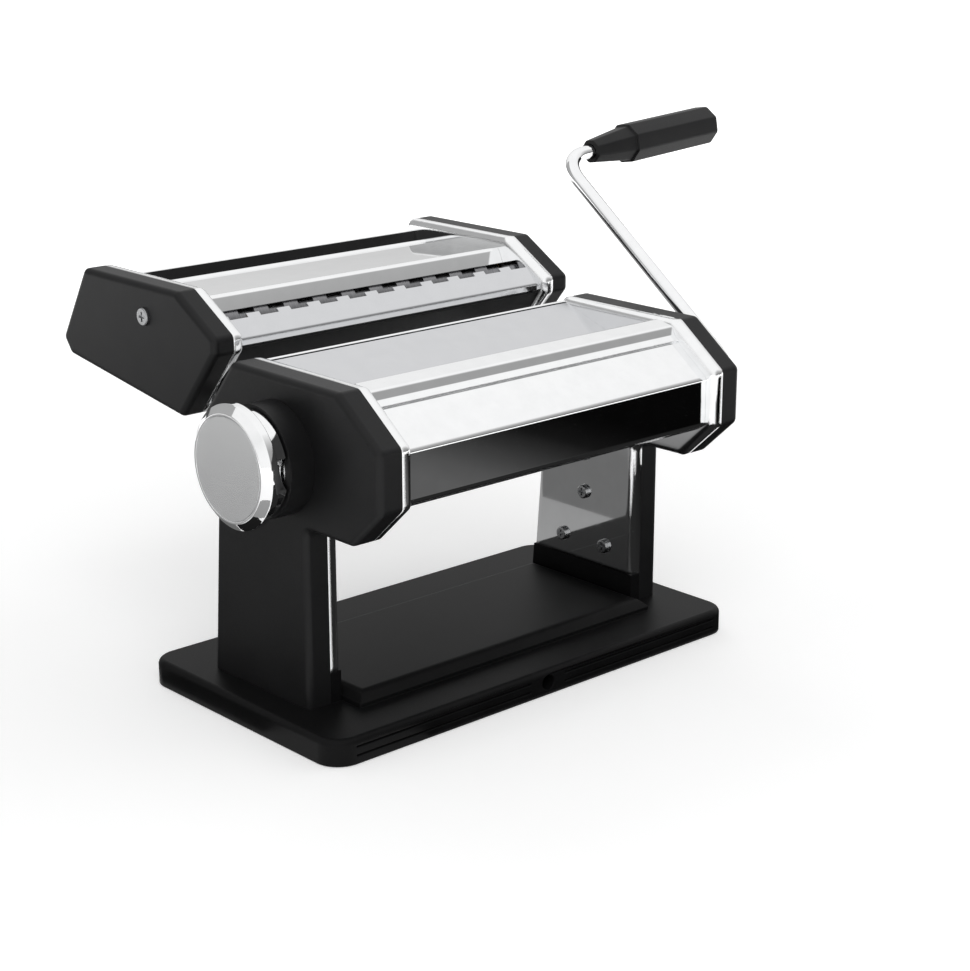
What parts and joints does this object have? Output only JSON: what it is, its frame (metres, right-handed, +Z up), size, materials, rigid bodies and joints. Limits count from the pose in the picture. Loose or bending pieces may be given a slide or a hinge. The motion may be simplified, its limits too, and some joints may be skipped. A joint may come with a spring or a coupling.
{
  "type": "pasta roller machine",
  "caption": "Hand-cranked tabletop pasta roller with a thickness knob, black side covers, chromed sheet body and a lift-off double cutter behind its rollers.",
  "frame": {"origin": "middle of the base, on the table that it stands on", "axes": "+X towards the crank side, -Y towards the front where the sheet is fed by the operator, +Z up"},
  "size_m": [0.332, 0.1976, 0.1942],
  "materials": {
    "black_plastic": "matte",
    "chrome": "polished",
    "roller_steel": "satin",
    "gear_steel": "satin",
    "bush_bronze": "satin",
    "satin_aluminium": "satin",
    "screw_steel": "satin",
    "rubber": "matte",
    "white_plastic": "matte"
  },
  "bodies": {
    "frame": {"base_moulding": "black_plastic", "rubber_feet": "rubber", "frame_screws": "screw_steel", "cover_screws": "screw_steel", "right_side_frame": "chrome", "left_side_frame": "chrome", "right_side_cover": "black_plastic", "left_side_cover": "black_plastic", "right_drive_bush": "bush_bronze", "left_drive_bush": "bush_bronze", "front_cover": "chrome", "front_hopper_guide": "chrome", "rear_cover": "chrome", "rear_hopper_guide": "chrome", "tie_rods": "roller_steel", "front_scraper": "gear_steel", "rear_scraper": "gear_steel", "shaft_bush": "bush_bronze", "shaft_bridge": "gear_steel", "cutter_rails": "chrome", "index_plate": "satin_aluminium"},
    "drive": {"drive_roller": "roller_steel", "drive_gear": "gear_steel"},
    "crank": {"crank_rod": "chrome"},
    "grip": {"crank_grip": "black_plastic"},
    "eccentric": {"eccentric_shaft": "roller_steel", "knob_retainer": "screw_steel", "knob_spring": "screw_steel"},
    "knob": {"knob_body": "chrome", "knob_cap": "satin_aluminium", "index_pin": "screw_steel"},
    "bushes": {"roller_bushes": "bush_bronze"},
    "adjustable": {"adjustable_roller": "roller_steel", "adjustable_gear": "gear_steel"},
    "cutter": {"cutter_right_frame": "chrome", "cutter_left_frame": "chrome", "cutter_right_cover": "black_plastic", "cutter_left_cover": "black_plastic", "cutter_tie_rods": "roller_steel", "cutter_cover_screws": "screw_steel", "cutter_bridge": "chrome", "cutter_front_guide": "chrome", "cutter_apron": "black_plastic", "cutter_rear_guide": "black_plastic", "cutter_rear_cover": "chrome", "cutter_bushes": "bush_bronze", "hanger_brackets": "chrome", "fettuccine_front_comb": "white_plastic", "fettuccine_rear_comb": "white_plastic", "tagliolini_front_comb": "white_plastic", "tagliolini_rear_comb": "white_plastic"},
    "fettuccine_driven": {"fettuccine_rear_roller": "roller_steel", "fettuccine_rear_gear": "gear_steel"},
    "fettuccine_follower": {"fettuccine_front_roller": "roller_steel", "fettuccine_front_gear": "gear_steel"},
    "tagliolini_driven": {"tagliolini_front_roller": "roller_steel", "tagliolini_front_gear": "gear_steel"},
    "tagliolini_follower": {"tagliolini_rear_roller": "roller_steel", "tagliolini_rear_gear": "gear_steel"}
  },
  "joints": [
    {"name": "drive_turn", "type": "hinge", "parent": "frame", "child": "drive", "pos_m": [0, -0.0469, 0.1025], "axis": [1, 0, 0], "continuous": true},
    {"name": "crank_pull", "type": "slide", "parent": "drive", "child": "crank", "axis": [1, 0, 0], "range_m": [0, 0.025]},
    {"name": "grip_spin", "type": "hinge", "parent": "crank", "child": "grip", "pos_m": [0.116, 0.05636, 0.18031], "axis": [0.9962, 0.0696, 0.0525], "continuous": true},
    {"name": "knob_turn", "type": "hinge", "parent": "frame", "child": "eccentric", "pos_m": [0, -0.0133, 0.1025], "axis": [1, 0, 0], "range_deg": [0, 180]},
    {"name": "knob_pull", "type": "slide", "parent": "eccentric", "child": "knob", "axis": [-1, 0, 0], "range_m": [0, 0.004], "stiffness_N_per_m": 1500, "springref_m": -0.002, "deforming": ["knob_spring"]},
    {"name": "bush_turn", "type": "hinge", "parent": "eccentric", "child": "bushes", "pos_m": [0, -0.0123, 0.1025], "axis": [1, 0, 0], "range_deg": [-180, 0]},
    {"name": "adjustable_turn", "type": "hinge", "parent": "bushes", "child": "adjustable", "pos_m": [0, -0.0123, 0.1025], "axis": [1, 0, 0], "continuous": true},
    {"name": "cutter_lift", "type": "slide", "parent": "frame", "child": "cutter", "axis": [0, 0, 1], "range_m": [0, 0.04]},
    {"name": "fettuccine_turn", "type": "hinge", "parent": "cutter", "child": "fettuccine_driven", "pos_m": [0, 0.05679, 0.13444], "axis": [1, 0, 0], "continuous": true},
    {"name": "fettuccine_follow", "type": "hinge", "parent": "cutter", "child": "fettuccine_follower", "pos_m": [0, 0.04181, 0.12956], "axis": [1, 0, 0], "continuous": true},
    {"name": "tagliolini_turn", "type": "hinge", "parent": "cutter", "child": "tagliolini_driven", "pos_m": [0, 0.09262, 0.13], "axis": [1, 0, 0], "continuous": true},
    {"name": "tagliolini_follow", "type": "hinge", "parent": "cutter", "child": "tagliolini_follower", "pos_m": [0, 0.10838, 0.13], "axis": [1, 0, 0], "continuous": true}
  ],
  "couplings": [
    {"joint": "bush_turn", "follows": "knob_turn", "ratio": -1},
    {"joint": "adjustable_turn", "follows": "drive_turn", "ratio": -1},
    {"joint": "fettuccine_follow", "follows": "fettuccine_turn", "ratio": -1},
    {"joint": "tagliolini_follow", "follows": "tagliolini_turn", "ratio": -1}
  ]
}
